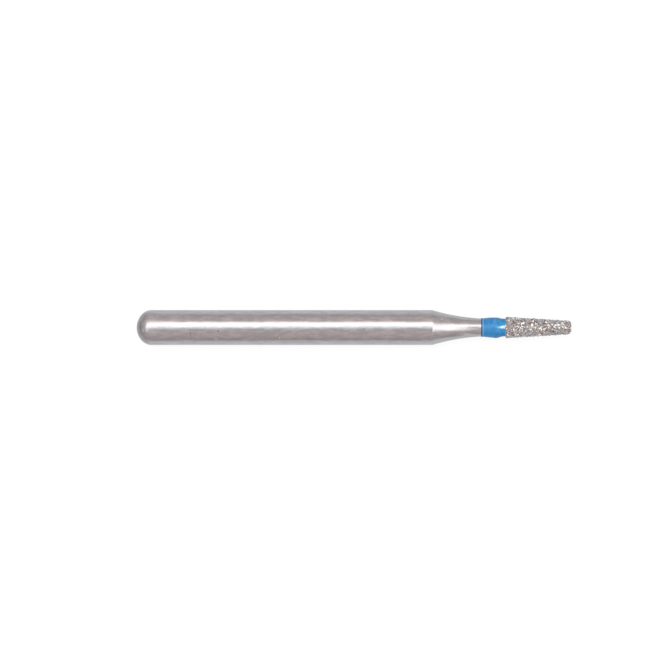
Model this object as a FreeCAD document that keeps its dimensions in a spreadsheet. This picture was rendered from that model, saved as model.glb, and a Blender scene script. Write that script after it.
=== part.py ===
# A dental bur with a friction-grip shank, in four pieces as it is made:
#   steel_blank     one turned and ground rod: domed shank, hollow-curved neck and the head's tapered core
#   colour_band     the blue lacquer ring round the neck, which tells the grain size
#   nickel_bond     the plated layer on the core, with a pocket for every grain
#   diamond_grains  the crystals that cut, each a solid of its own in its pocket
# Frame, in millimetres: +X along the bur's axis towards its cutting tip, +Z up. The origin is on the axis, at
# the middle of the straight cylinder that the chuck grips.

import FreeCAD, Part
import bisect
import math
import os

import Sketcher

# Driving dimensions. Every other size and place is worked out from these.
SIZES = {
    "shank_diameter": 1.60,
    "grip_length": 12.84,
    "end_corner_radius": 0.60,
    "end_crown": 0.076,
    "shoulder_round": 0.25,
    "neck_length": 3.37,
    "neck_diameter": 0.80,
    "neck_curve_radius": 9.50,
    "head_length": 3.00,
    "core_tip_diameter": 0.46,
    "core_tip_chamfer": 0.08,
    "band_width": 1.11,
    "band_gap": 0.04,
    "bond_thickness": 0.040,
    "grain_size": 0.098,
    "grain_size_spread": 0.018,
    "grain_seat": 0.004,
    "grain_gap": 0.078,
    "grain_lean": 12.0,
}

# How thick the band's lacquer is at even steps, from its back edge to its front edge by the head.
LACQUER = [0.018, 0.020, 0.032, 0.047, 0.055, 0.062, 0.073, 0.064, 0.038, 0.010, 0.010]
SIZES.update({f"lacquer_{step}": thickness for step, thickness in enumerate(LACQUER)})

# Places along the axis and radii that the pieces share, worked out from the sizes and from the rows above.
PLACES = {
    "shank_radius": "Sizes.shank_diameter / 2",
    "neck_radius": "Sizes.neck_diameter / 2",
    "grip_start": "-Sizes.grip_length / 2",
    "grip_end": "Sizes.grip_length / 2",
    "back_end": "grip_start - Sizes.end_corner_radius - Sizes.end_crown",
    "corner_y": "shank_radius - Sizes.end_corner_radius",
    "nose_x": "grip_start + (corner_y ^ 2 - Sizes.end_crown ^ 2) / (2 * Sizes.end_crown)",
    "bend_y": "neck_radius + Sizes.neck_curve_radius",
    "bend_x": "grip_end + sqrt(Sizes.neck_curve_radius ^ 2 - (bend_y - shank_radius) ^ 2)",
    "head_start": "grip_end + Sizes.neck_length",
    "core_end": "head_start + Sizes.head_length - Sizes.grain_size - Sizes.grain_seat",
    "core_tip_radius": "Sizes.core_tip_diameter / 2",
    "core_slope": "(neck_radius - core_tip_radius) / (core_end - head_start)",
    "bond_end": "core_end + Sizes.bond_thickness",
    "bond_back_radius": "neck_radius + Sizes.bond_thickness * sqrt(1 + core_slope ^ 2)",
    "bond_tip_radius": "bond_back_radius - core_slope * (bond_end - head_start)",
    "bond_tip_round": "Sizes.core_tip_chamfer + Sizes.bond_thickness",
    "grain_depth": "Sizes.grain_seat + Sizes.grain_size / 2",
    "band_end": "head_start - Sizes.band_gap",
}

# The band's outline at each step: its place along the axis, and the neck's radius there with the lacquer.
NECK_AT = "bend_y - sqrt(Sizes.neck_curve_radius ^ 2 - max(bend_x - {x}; 0) ^ 2)"
LAST_STEP = len(LACQUER) - 1
for step in range(len(LACQUER)):
    PLACES[f"band_x_{step}"] = f"band_end - {LAST_STEP - step} * Sizes.band_width / {LAST_STEP}"
    PLACES[f"band_radius_{step}"] = NECK_AT.format(x=f"band_x_{step}") + f" + Sizes.lacquer_{step}"

# A spiral that turns by the golden angle for each equal area keeps its closest points this share of the
# area's square root apart.
GOLDEN_ANGLE = math.pi * (3.0 - math.sqrt(5.0))
CLOSEST_SHARE = 0.9457
PATH_POINTS = 200

# A broken crystal has lost its outer corner, down to this share of its reach and on this slant in degrees.
BREAK_SHARE = 0.35
BREAK_SLANT = 15.0

# Each grain draws its shape, size, spin and lean from five even sequences, which step by these shares.
DRAW_STEPS = [1.1347 ** -(i + 1) for i in range(5)]

doc = FreeCAD.newDocument("dental_bur")


def make_sheet(name, rows):
    """A spreadsheet with one named cell for each row."""
    sheet = doc.addObject("Spreadsheet::Sheet", name)
    for number, (alias, content) in enumerate(rows.items(), start=1):
        sheet.set(f"A{number}", alias.replace("_", " "))
        sheet.set(f"B{number}", content)
        sheet.setAlias(f"B{number}", alias)
    doc.recompute()


make_sheet("Sizes", {alias: str(number) for alias, number in SIZES.items()})
make_sheet("Places", {alias: f"={formula}" for alias, formula in PLACES.items()})


def value(name):
    """The number that a cell holds, named as in "Places.head_start"."""
    sheet, alias = name.split(".")
    return float(doc.getObject(sheet).get(alias))


class Outline:
    """A closed half outline in a body's XZ plane, to be revolved about X.

    Lines and arcs are added head to tail, drawn near their place, and then held by rules and named cells.
    """

    START, END, CENTRE = 1, 2, 3

    def __init__(self, body, name):
        self.sketch = body.newObject("Sketcher::SketchObject", name)
        plane = next(f for f in body.Origin.OriginFeatures if f.Role == "XZ_Plane")
        self.sketch.AttachmentSupport = (plane, [""])
        self.sketch.MapMode = "FlatFace"
        self.ends = []

    def add(self, geometry, start, end, smooth):
        """Adds a curve that runs from its point `start` to its point `end`, joined to the one before.

        A smooth joint is tangent, and a tangent rule between two ends also brings them together.
        """
        index = self.sketch.addGeometry(geometry, False)
        if self.ends:
            before, _, before_end = self.ends[-1]
            self.rule("Tangent" if smooth else "Coincident", before, before_end, index, start)
        self.ends.append((index, start, end))
        return index

    def line(self, x0, y0, x1, y1, smooth=False):
        segment = Part.LineSegment(FreeCAD.Vector(x0, y0, 0), FreeCAD.Vector(x1, y1, 0))
        return self.add(segment, self.START, self.END, smooth)

    def arc(self, centre, start, end, smooth=False):
        """An arc about `centre` that runs from the point `start` to the point `end`, all as (x, radius).

        Arcs are stored counter-clockwise, so one that falls in angle runs from its END to its START.
        """
        from_angle = math.atan2(start[1] - centre[1], start[0] - centre[0])
        to_angle = math.atan2(end[1] - centre[1], end[0] - centre[0])
        low, high = min(from_angle, to_angle), max(from_angle, to_angle)
        radius = math.hypot(start[0] - centre[0], start[1] - centre[1])
        circle = Part.Circle(FreeCAD.Vector(*centre, 0), FreeCAD.Vector(0, 0, 1), radius)
        falling = to_angle < from_angle
        ends = (self.END, self.START) if falling else (self.START, self.END)
        return self.add(Part.ArcOfCircle(circle, low, high), *ends, smooth)

    def close(self):
        first, first_start, _ = self.ends[0]
        last, _, last_end = self.ends[-1]
        self.rule("Coincident", last, last_end, first, first_start)

    def rule(self, kind, *where):
        return self.sketch.addConstraint(Sketcher.Constraint(kind, *where))

    def sized(self, kind, *where, by):
        """A rule that holds a size, bound to the named cell."""
        index = self.sketch.addConstraint(Sketcher.Constraint(kind, *where, value(by)))
        self.sketch.setExpression(f"Constraints[{index}]", by)

    def pin(self, curve, point, x=None, y=None):
        """Ties a point to the frame, in x, in y or in both, by named cells."""
        if x:
            self.sized("DistanceX", -1, 1, curve, point, by=x)
        if y:
            self.sized("DistanceY", -1, 1, curve, point, by=y)

    def on_axis(self, curve, point):
        self.rule("PointOnObject", curve, point, -1)


def revolve(body, outline, name):
    """Revolves a finished outline a full turn about the bur's axis."""
    feature = body.newObject("PartDesign::Revolution", name)
    feature.Profile = outline.sketch
    feature.ReferenceAxis = (outline.sketch, ["H_Axis"])
    feature.Angle = 360.0
    outline.sketch.Visibility = False
    doc.recompute()
    return feature


def dress_edge(body, base, kind, x, radius, **dimension):
    """A fillet or chamfer on the ring edge of `base` nearest to x and radius, bound to a named cell."""
    point = Part.Vertex(value(x), 0, value(radius))
    rings = [i for i, edge in enumerate(base.Shape.Edges, start=1) if edge.isClosed()]
    nearest = min(rings, key=lambda i: base.Shape.Edges[i - 1].distToShape(point)[0])
    feature = body.newObject(f"PartDesign::{kind}", kind)
    feature.Base = (base, [f"Edge{nearest}"])
    for field, by in dimension.items():
        setattr(feature, field, value(by))
        feature.setExpression(field, by)
    doc.recompute()
    return feature


def make_blank():
    """The steel blank: one revolved outline, with its shoulder rounded and the core's end chamfered."""
    body = doc.addObject("PartDesign::Body", "steel_blank")
    body.Label = "steel_blank"
    back_end, grip_start = value("Places.back_end"), value("Places.grip_start")
    grip_end, shank = value("Places.grip_end"), value("Places.shank_radius")
    head_start, neck = value("Places.head_start"), value("Places.neck_radius")
    core_end, tip = value("Places.core_end"), value("Places.core_tip_radius")
    nose_centre = (value("Places.nose_x"), 0.0)
    corner_centre = (grip_start, value("Places.corner_y"))
    bend_centre = (value("Places.bend_x"), value("Places.bend_y"))
    corner = value("Sizes.end_corner_radius")
    steepness = math.atan2(corner_centre[1], corner_centre[0] - nose_centre[0])
    cap_end = (
        corner_centre[0] + corner * math.cos(steepness),
        corner_centre[1] + corner * math.sin(steepness),
    )

    line = Outline(body, "blank_outline")
    end_cap = line.arc(nose_centre, (back_end, 0.0), cap_end)
    end_corner = line.arc(corner_centre, cap_end, (grip_start, shank), smooth=True)
    grip = line.line(grip_start, shank, grip_end, shank, smooth=True)
    neck_bend = line.arc(bend_centre, (grip_end, shank), (bend_centre[0], neck))
    straight = line.line(bend_centre[0], neck, head_start, neck, smooth=True)
    core = line.line(head_start, neck, core_end, tip)
    core_face = line.line(core_end, tip, core_end, 0)
    line.line(core_end, 0, back_end, 0)
    line.close()

    line.on_axis(end_cap, line.CENTRE)
    line.on_axis(end_cap, line.END)
    line.pin(end_cap, line.END, x="Places.back_end")
    line.sized("Radius", end_corner, by="Sizes.end_corner_radius")
    line.rule("Horizontal", grip)
    line.pin(grip, line.START, x="Places.grip_start", y="Places.shank_radius")
    line.pin(grip, line.END, x="Places.grip_end")
    line.sized("Radius", neck_bend, by="Sizes.neck_curve_radius")
    line.rule("Horizontal", straight)
    line.pin(straight, line.END, x="Places.head_start", y="Places.neck_radius")
    line.pin(core, line.END, x="Places.core_end", y="Places.core_tip_radius")
    line.rule("Vertical", core_face)
    line.on_axis(core_face, line.END)

    turned = revolve(body, line, "turned_blank")
    shoulder = ("Places.grip_end", "Places.shank_radius")
    core_edge = ("Places.core_end", "Places.core_tip_radius")
    rounded = dress_edge(body, turned, "Fillet", *shoulder, Radius="Sizes.shoulder_round")
    dress_edge(body, rounded, "Chamfer", *core_edge, Size="Sizes.core_tip_chamfer")
    return body


def cut(name, base, tool):
    """`base` with the space of `tool` taken out of it, so that the two meet face to face."""
    result = doc.addObject("Part::Cut", name)
    result.Label = name
    result.Base = base
    result.Tool = tool
    doc.recompute()
    return result


def make_band(blank):
    """The lacquer ring: an outline through every step of its thickness, less the neck inside it."""
    body = doc.addObject("PartDesign::Body", "band_form")
    steps = range(len(LACQUER))
    turns = [(value(f"Places.band_x_{n}"), value(f"Places.band_radius_{n}")) for n in steps]
    start, end = turns[0], turns[-1]

    line = Outline(body, "band_outline")
    start_face = line.line(start[0], 0, *start)
    stretches = [line.line(*here, *ahead) for here, ahead in zip(turns, turns[1:])]
    end_face = line.line(*end, end[0], 0)
    line.line(end[0], 0, start[0], 0)
    line.close()

    line.on_axis(start_face, line.START)
    line.rule("Vertical", start_face)
    line.pin(start_face, line.END, x="Places.band_x_0", y="Places.band_radius_0")
    for n, stretch in enumerate(stretches, start=1):
        line.pin(stretch, line.END, x=f"Places.band_x_{n}", y=f"Places.band_radius_{n}")
    line.rule("Vertical", end_face)
    line.on_axis(end_face, line.END)

    revolve(body, line, "band_barrel")
    return cut("colour_band", body, blank)


def make_bond_form():
    """The outside of the plated layer: the core's taper and end, one layer thickness further out."""
    body = doc.addObject("PartDesign::Body", "bond_form")
    back = (value("Places.head_start"), value("Places.bond_back_radius"))
    tip = (value("Places.bond_end"), value("Places.bond_tip_radius"))

    line = Outline(body, "bond_outline")
    back_face = line.line(back[0], 0, *back)
    flank = line.line(*back, *tip)
    end_face = line.line(*tip, tip[0], 0)
    line.line(tip[0], 0, back[0], 0)
    line.close()

    line.on_axis(back_face, line.START)
    line.rule("Vertical", back_face)
    line.pin(back_face, line.END, x="Places.head_start", y="Places.bond_back_radius")
    line.pin(flank, line.END, x="Places.bond_end", y="Places.bond_tip_radius")
    line.rule("Vertical", end_face)
    line.on_axis(end_face, line.END)

    turned = revolve(body, line, "bond_cone")
    tip_edge = ("Places.bond_end", "Places.bond_tip_radius")
    dress_edge(body, turned, "Fillet", *tip_edge, Radius="Places.bond_tip_round")
    return body


def octahedron(reach):
    """A whole crystal, standing on a corner: eight faces, and six corners `reach` from its centre."""
    waist = [FreeCAD.Vector(reach, 0, 0), FreeCAD.Vector(0, reach, 0)]
    waist += [-corner for corner in waist]
    faces = []
    for peak in (FreeCAD.Vector(0, 0, reach), FreeCAD.Vector(0, 0, -reach)):
        for here, beside in zip(waist, waist[1:] + waist[:1]):
            faces.append(Part.Face(Part.makePolygon([here, beside, peak, here])))
    solid = Part.Solid(Part.Shell(faces))
    if solid.Volume < 0:
        solid.reverse()
    return solid


def broken_octahedron(reach):
    """A crystal whose outer corner has broken off on a slant."""
    lost = Part.makeBox(4 * reach, 4 * reach, 2 * reach)
    lost.translate(FreeCAD.Vector(-2 * reach, -2 * reach, BREAK_SHARE * reach))
    lost.rotate(FreeCAD.Vector(0, 0, BREAK_SHARE * reach), FreeCAD.Vector(1, 0.4, 0), BREAK_SLANT)
    return octahedron(reach).cut(lost).Solids[0]


def grain_path():
    """Points along the line that the grains' centres lie on, in the XZ plane.

    It follows the core at the depth of the grains' middles: along the taper, round the tip, in to the axis.
    """
    depth, chamfer = value("Places.grain_depth"), value("Sizes.core_tip_chamfer")
    slope = value("Places.core_slope")
    taper = math.atan(slope)
    reach = chamfer + depth
    core_edge = FreeCAD.Vector(value("Places.core_end"), 0, value("Places.core_tip_radius"))
    middle = core_edge + FreeCAD.Vector(-chamfer, 0, chamfer * (slope - 1 / math.cos(taper)))

    def round_tip(angle):
        return middle + FreeCAD.Vector(reach * math.cos(angle), 0, reach * math.sin(angle))

    steepest = math.pi / 2 - taper
    back_z = value("Places.neck_radius") + depth * (1 / math.cos(taper) - slope)
    back = FreeCAD.Vector(value("Places.head_start") + depth, 0, back_z)
    front = FreeCAD.Vector(core_edge.x + depth, 0, 0)
    edges = [
        Part.makeLine(back, round_tip(steepest)),
        Part.Arc(round_tip(steepest), round_tip(steepest / 2), round_tip(0)).toShape(),
        Part.makeLine(round_tip(0), front),
    ]
    return Part.Wire(edges).discretize(Number=PATH_POINTS)


def grain_seats():
    """Centre and outward direction of every grain.

    Each next grain goes on by the golden angle and by an equal area of the head, so all of them keep their
    distance from each other, on the taper and round the tip alike.
    """
    path = grain_path()
    areas = [0.0]
    for here, ahead in zip(path, path[1:]):
        areas.append(areas[-1] + math.pi * (here.z + ahead.z) * here.distanceToPoint(ahead))
    pitch = (value("Sizes.grain_size") + value("Sizes.grain_gap")) / CLOSEST_SHARE
    count = round(areas[-1] / pitch**2)
    for n in range(count):
        area = areas[-1] * (n + 0.5) / count
        step = bisect.bisect_right(areas, area) - 1
        along = path[step + 1] - path[step]
        centre = path[step] + along * ((area - areas[step]) / (areas[step + 1] - areas[step]))
        outward = FreeCAD.Vector(-along.z, 0, along.x).normalize()
        around = FreeCAD.Rotation(FreeCAD.Vector(1, 0, 0), math.degrees(n * GOLDEN_ANGLE))
        yield around.multVec(centre), around.multVec(outward)


def make_grains():
    """The crystals that cut, each standing on a corner in the bond, clear of the steel and of the others."""
    largest = value("Sizes.grain_size")
    habits = [octahedron(largest / 2), broken_octahedron(largest / 2)]
    up = FreeCAD.Vector(0, 0, 1)
    solids = []
    for n, (centre, outward) in enumerate(grain_seats()):
        habit, less, spin, lean, lean_to = ((n * step) % 1.0 for step in DRAW_STEPS)
        sideways = FreeCAD.Rotation(up, 360 * lean_to).multVec(FreeCAD.Vector(1, 0, 0))
        turn = FreeCAD.Rotation(up, outward)
        turn = turn.multiply(FreeCAD.Rotation(sideways, value("Sizes.grain_lean") * lean))
        turn = turn.multiply(FreeCAD.Rotation(up, 360 * spin))
        solid = habits[int(habit * len(habits))].scaled(1 - value("Sizes.grain_size_spread") * less / largest)
        solid.Placement = FreeCAD.Placement(centre, turn)
        solids.append(solid)
    grains = doc.addObject("Part::Feature", "diamond_grains")
    grains.Label = "diamond_grains"
    grains.Shape = Part.makeCompound(solids)
    grains.Placement = FreeCAD.Placement()
    doc.recompute()
    return grains


def check(pieces):
    """Stops the build if any object failed, or if a piece has no sound solid."""
    for item in doc.Objects:
        if {"Invalid", "Error"} & set(item.State):
            raise RuntimeError(f"{item.Name} did not build: {item.State}")
    for piece in pieces:
        shape = piece.Shape
        if shape.isNull() or not shape.isValid() or not shape.Solids:
            raise RuntimeError(f"{piece.Label} has no valid solid")


blank = make_blank()
band = make_band(blank)
grains = make_grains()
plated_layer = cut("plated_layer", make_bond_form(), blank)
bond = cut("nickel_bond", plated_layer, grains)

pieces = [blank, band, bond, grains]
check(pieces)
os.makedirs("parts", exist_ok=True)
for piece in pieces:
    piece.Shape.exportStep(f"parts/{piece.Label}.step")
    print(f"{piece.Label}: {len(piece.Shape.Solids)} solids, {piece.Shape.Volume:.5f} mm3")
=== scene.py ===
"""A dental bur lying on a white table under a soft studio light, seen straight from above.

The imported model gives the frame. Each of its four nodes is replaced by a finer piece of the same
form: the ground steel blank, the lacquer ring, the plated layer and the coat of diamond crystals.
"""
import math

import bpy
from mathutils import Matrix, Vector, noise


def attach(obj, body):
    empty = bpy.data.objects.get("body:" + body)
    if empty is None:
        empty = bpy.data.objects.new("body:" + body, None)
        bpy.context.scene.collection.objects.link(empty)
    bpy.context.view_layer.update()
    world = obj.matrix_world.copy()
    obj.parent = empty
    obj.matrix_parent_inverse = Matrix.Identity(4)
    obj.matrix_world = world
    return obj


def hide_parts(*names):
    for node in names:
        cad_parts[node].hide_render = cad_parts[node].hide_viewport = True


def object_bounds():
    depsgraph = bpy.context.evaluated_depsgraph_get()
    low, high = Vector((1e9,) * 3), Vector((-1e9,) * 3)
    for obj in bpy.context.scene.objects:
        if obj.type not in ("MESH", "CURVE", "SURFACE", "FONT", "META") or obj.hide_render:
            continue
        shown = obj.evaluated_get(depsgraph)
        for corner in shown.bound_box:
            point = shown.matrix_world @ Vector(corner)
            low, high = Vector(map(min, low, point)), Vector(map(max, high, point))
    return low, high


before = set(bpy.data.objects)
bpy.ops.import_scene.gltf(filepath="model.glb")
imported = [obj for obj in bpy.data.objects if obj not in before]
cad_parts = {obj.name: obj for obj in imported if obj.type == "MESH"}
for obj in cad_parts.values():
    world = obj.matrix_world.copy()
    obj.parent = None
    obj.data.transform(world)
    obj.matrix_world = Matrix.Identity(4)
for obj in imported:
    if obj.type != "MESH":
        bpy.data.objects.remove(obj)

MM = 0.001
PER_MM = 1000.0
cad_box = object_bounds()

# The blank. Lengths are in millimetres, and places lie along X, the bur's axis.
SHANK_RADIUS = 0.80
BACK_END = -7.096
GRIP_START = -6.42
GRIP_END = 6.42
END_CROWN = 0.076
END_CORNER_RADIUS = 0.60
SHOULDER_ROUND = 0.25
NECK_RADIUS = 0.40
NECK_CURVE_RADIUS = 9.50
HEAD_START = 9.79
CORE_END = 12.688
CORE_TIP_RADIUS = 0.23
CORE_TIP_CHAMFER = 0.08
CORE_SLOPE = (NECK_RADIUS - CORE_TIP_RADIUS) / (CORE_END - HEAD_START)

# The middle of the neck's hollow curve. The curve runs level at its X.
BEND_Y = NECK_RADIUS + NECK_CURVE_RADIUS
BEND_X = GRIP_END + math.sqrt(NECK_CURVE_RADIUS**2 - (BEND_Y - SHANK_RADIUS) ** 2)

# The core's chamfered end, from its flank to the axis, as (x, radius).
CHAMFER_START = CORE_END - CORE_TIP_CHAMFER
CORE_TIP = [
    (CHAMFER_START, CORE_TIP_RADIUS + CORE_SLOPE * CORE_TIP_CHAMFER),
    (CORE_END, CORE_TIP_RADIUS - CORE_TIP_CHAMFER),
    (CORE_END, 0.0),
]

# The lacquer ring. It starts as a film, rises over a shoulder to its crest, and falls to a foot.
RING_START = 8.64
RING_END = 9.75
RING_FILM = 0.018
RING_SHOULDER = 0.060
RING_CREST = 0.073
RING_FOOT = 0.010
RING_RISE_FROM = 8.68
RING_SHOULDER_AT = 9.12
RING_CREST_AT = 9.31
RING_FALL_FROM = 9.33
RING_FALL_TO = 9.64
RING_BACK_EDGE = 0.006
RING_FRONT_EDGE = 0.4 * RING_FOOT
# How far it hangs to one side, and from where on, and the waves of its surface.
RING_SAG, RING_SAG_FROM = 0.0115, 9.00
WAVE_HEIGHT, WAVES_ALONG, WAVES_AROUND = 0.0045, 3.0, 2.2
RIPPLE_HEIGHT, RIPPLE_FINENESS = 0.0022, 2.7

# The plated layer, and the lumps of its surface.
BOND_THICKNESS = 0.040
BOND_END = CORE_END + BOND_THICKNESS
BOND_TIP_ROUND = CORE_TIP_CHAMFER + BOND_THICKNESS
BOND_BACK_ROUND = 0.025
BOND_BACK_RADIUS = NECK_RADIUS + BOND_THICKNESS * math.sqrt(1 + CORE_SLOPE**2)
LUMP_HEIGHT, LUMP_FINENESS = 0.011, 13.0
PIMPLE_HEIGHT, PIMPLE_FINENESS = 0.006, 29.0

# How finely the pieces are drawn: steps round the axis, steps in an arc, and the longest steps.
BLANK_AROUND, RING_AROUND, BOND_AROUND, SKIN_AROUND = 192, 144, 144, 72
CROWN_STEPS, CORNER_STEPS, SHOULDER_STEPS = 14, 18, 6
BOND_BACK_STEPS, BOND_TIP_STEPS, BOND_FACE_STEPS = 4, 8, 7
GRIP_STEP, LAST_GRIP_STEP, NECK_STEP, LEVEL_STEP, CORE_STEP = 0.08, 0.02, 0.06, 0.1, 0.3
RING_STEP, RING_INSIDE_STEP, BOND_STEP = 0.0185, 0.1, 0.022
# The shorter steps along the grip near a mark, and how near that is.
MARK_STEP, NEAR_A_MARK = 0.014, 0.12
# A difference in radius that is too small to count.
HAIR = 0.001

# Marks that handling has left on the shank: place along and across, reach each way, and depth.
NICK = dict(x=-3.36, y=-0.165, along=0.05, across=0.045, depth=0.004)
SPECK = dict(x=-3.46, y=-0.527, along=0.035, across=0.035, depth=0.002)
FAR_SPECK = dict(x=-0.565, y=-0.48, along=0.035, across=0.035, depth=0.002)
RUB = dict(x=-4.617, y=-0.33, along=0.022, across=0.26, depth=0.0022)
SUNK_MARKS = [NICK, SPECK, FAR_SPECK, RUB]
# A mark has faded where the square of its distance, in its own reaches, is this much.
MARK_FADES_AT = 6.0


# -------------------------------------------------------------------------------- meshes


def smoothstep(low, high, x):
    """0 below `low`, 1 above `high`, and an even ease between."""
    share = min(max((x - low) / (high - low), 0.0), 1.0)
    return share * share * (3.0 - 2.0 * share)


def steps(low, high, longest):
    """Evenly spaced values from `low` up to, but without, `high`."""
    count = max(1, math.ceil((high - low) / longest))
    return [low + (high - low) * n / count for n in range(count)]


def arc(centre, radius, start, end, count):
    """Points of an arc as (x, radius), from angle `start` up to, but without, angle `end`."""
    angles = [start + (end - start) * n / count for n in range(count)]
    return [(centre[0] + radius * math.cos(a), centre[1] + radius * math.sin(a)) for a in angles]


def neck_radius_at(x):
    """The neck's radius: a hollow curve that runs level into the straight neck."""
    return BEND_Y - math.sqrt(NECK_CURVE_RADIUS**2 - max(BEND_X - x, 0.0) ** 2)


def core_radius_at(x):
    """The radius of the core under the coat."""
    return NECK_RADIUS - CORE_SLOPE * (x - HEAD_START)


def bond_radius_at(x):
    """The outer radius of the plated layer, which keeps the core's taper."""
    return BOND_BACK_RADIUS - CORE_SLOPE * (x - HEAD_START)


def new_piece(name, vertices, faces, smooth=True):
    """A mesh object from points in millimetres, at the origin."""
    mesh = bpy.data.meshes.new(name)
    mesh.from_pydata([(x * MM, y * MM, z * MM) for x, y, z in vertices], [], faces)
    mesh.polygons.foreach_set("use_smooth", [smooth] * len(mesh.polygons))
    mesh.update()
    piece = bpy.data.objects.new(name, mesh)
    bpy.context.scene.collection.objects.link(piece)
    return piece


def turned_points(outline, around, swell=None):
    """One ring of points about X for each (x, radius) of an outline.

    `swell` gives what is added to the radius at a place and an angle, which starts at +Y.
    """
    angles = [2 * math.pi * n / around for n in range(around)]
    points = []
    for x, radius in outline:
        for a in angles:
            r = radius + (swell(x, radius, a) if swell else 0.0)
            points.append((x, r * math.cos(a), r * math.sin(a)))
    return points


def faces_between(count, around, closed=False):
    """The faces between `count` rings of points. `closed` also joins the last to the first."""
    faces = []
    for i in range(count if closed else count - 1):
        here, ahead = i * around, (i + 1) % count * around
        for j in range(around):
            k = (j + 1) % around
            faces.append((here + j, here + k, ahead + k, ahead + j))
    return faces


def turn(name, outline, around, swell=None):
    """A solid turned about X. Its outline runs from the axis to the axis, round the solid."""
    rings = outline[1:-1]
    vertices = turned_points(rings, around, swell)
    faces = faces_between(len(rings), around)
    first_pole, last_pole = len(vertices), len(vertices) + 1
    vertices += [(outline[0][0], 0.0, 0.0), (outline[-1][0], 0.0, 0.0)]
    end = (len(rings) - 1) * around
    for j in range(around):
        k = (j + 1) % around
        faces.append((first_pole, k, j))
        faces.append((last_pole, end + j, end + k))
    return new_piece(name, vertices, faces)


def turn_ring(name, outline, around, swell=None):
    """A ring turned about X. Its outline comes back to its first point."""
    vertices = turned_points(outline, around, swell)
    return new_piece(name, vertices, faces_between(len(outline), around, closed=True))


def blank_outline():
    """The steel blank from its domed end to the end of its core."""
    corner = (GRIP_START, SHANK_RADIUS - END_CORNER_RADIUS)
    crown_x = GRIP_START + (corner[1] ** 2 - END_CROWN**2) / (2 * END_CROWN)
    steepness = math.atan2(corner[1], corner[0] - crown_x)
    points = [(BACK_END, 0.0)]
    points += arc((crown_x, 0.0), crown_x - BACK_END, math.pi, steepness, CROWN_STEPS)[1:]
    points += arc(corner, END_CORNER_RADIUS, steepness, math.pi / 2, CORNER_STEPS)
    lean = math.atan((BEND_X - GRIP_END) / (BEND_Y - SHANK_RADIUS))
    shoulder = (GRIP_END - SHOULDER_ROUND * math.tan(lean / 2), SHANK_RADIUS - SHOULDER_ROUND)
    points += [(x, SHANK_RADIUS) for x in grip_steps(shoulder[0])]
    points += arc(shoulder, SHOULDER_ROUND, math.pi / 2, math.pi / 2 - lean, SHOULDER_STEPS)
    curve_start = shoulder[0] + SHOULDER_ROUND * math.sin(lean)
    points += [(x, neck_radius_at(x)) for x in steps(curve_start, BEND_X, NECK_STEP)]
    points += [(x, NECK_RADIUS) for x in steps(BEND_X, HEAD_START, LEVEL_STEP)]
    points += [(x, core_radius_at(x)) for x in steps(HEAD_START, CHAMFER_START, CORE_STEP)]
    return points + CORE_TIP


def grip_steps(end):
    """Places of the rings along the grip, close together where a mark lies."""
    places = []
    x = GRIP_START
    while x < end - LAST_GRIP_STEP:
        places.append(x)
        near = any(abs(x - mark["x"]) < NEAR_A_MARK for mark in SUNK_MARKS)
        x += MARK_STEP if near else GRIP_STEP
    return places


def sink_marks(x, radius, angle):
    """How far the marks sink the upper side of the shank."""
    if radius < SHANK_RADIUS - HAIR or math.sin(angle) < 0:
        return 0.0
    y = radius * math.cos(angle)
    sunk = 0.0
    for mark in SUNK_MARKS:
        far = ((x - mark["x"]) / mark["along"]) ** 2 + ((y - mark["y"]) / mark["across"]) ** 2
        if far < MARK_FADES_AT:
            sunk -= mark["depth"] * math.exp(-far)
    return sunk


def ring_thickness(x):
    """The lacquer's thickness: a thin film, a bead with its crest towards the head, and a foot."""
    rise = (RING_SHOULDER - RING_FILM) * smoothstep(RING_RISE_FROM, RING_SHOULDER_AT, x)
    rise += (RING_CREST - RING_SHOULDER) * smoothstep(RING_SHOULDER_AT, RING_CREST_AT, x)
    fall = smoothstep(RING_FALL_FROM, RING_FALL_TO, x)
    return (RING_FILM + rise) * (1.0 - fall) + RING_FOOT * fall


def ring_outline():
    """The ring's outside from back to front, then its inside on the neck."""
    points = [(RING_START, neck_radius_at(RING_START) + RING_BACK_EDGE)]
    for x in steps(RING_START, RING_END, RING_STEP)[:-1]:
        points.append((x + RING_BACK_EDGE, neck_radius_at(x) + ring_thickness(x)))
    points.append((RING_END, neck_radius_at(RING_END) + RING_FRONT_EDGE))
    inside = [RING_END] + steps(RING_START, RING_END, RING_INSIDE_STEP)[::-1]
    return points + [(x, neck_radius_at(x)) for x in inside]


def swell_ring(x, radius, angle):
    """The lacquer hangs to one side, and its surface is slightly wavy, as brushed lacquer is."""
    over = radius - neck_radius_at(x)
    if over < RING_FOOT / 2:
        return 0.0
    bead = min(over / RING_CREST, 1.0)
    side, up = math.cos(angle), math.sin(angle)
    place = Vector((x * WAVES_ALONG, WAVES_AROUND * side, WAVES_AROUND * up))
    wave = WAVE_HEIGHT * noise.noise(place)
    wave += RIPPLE_HEIGHT * noise.noise(place * RIPPLE_FINENESS)
    hang = RING_SAG * smoothstep(RING_SAG_FROM, RING_CREST_AT, x)
    return -hang * bead * side + wave * bead


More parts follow.
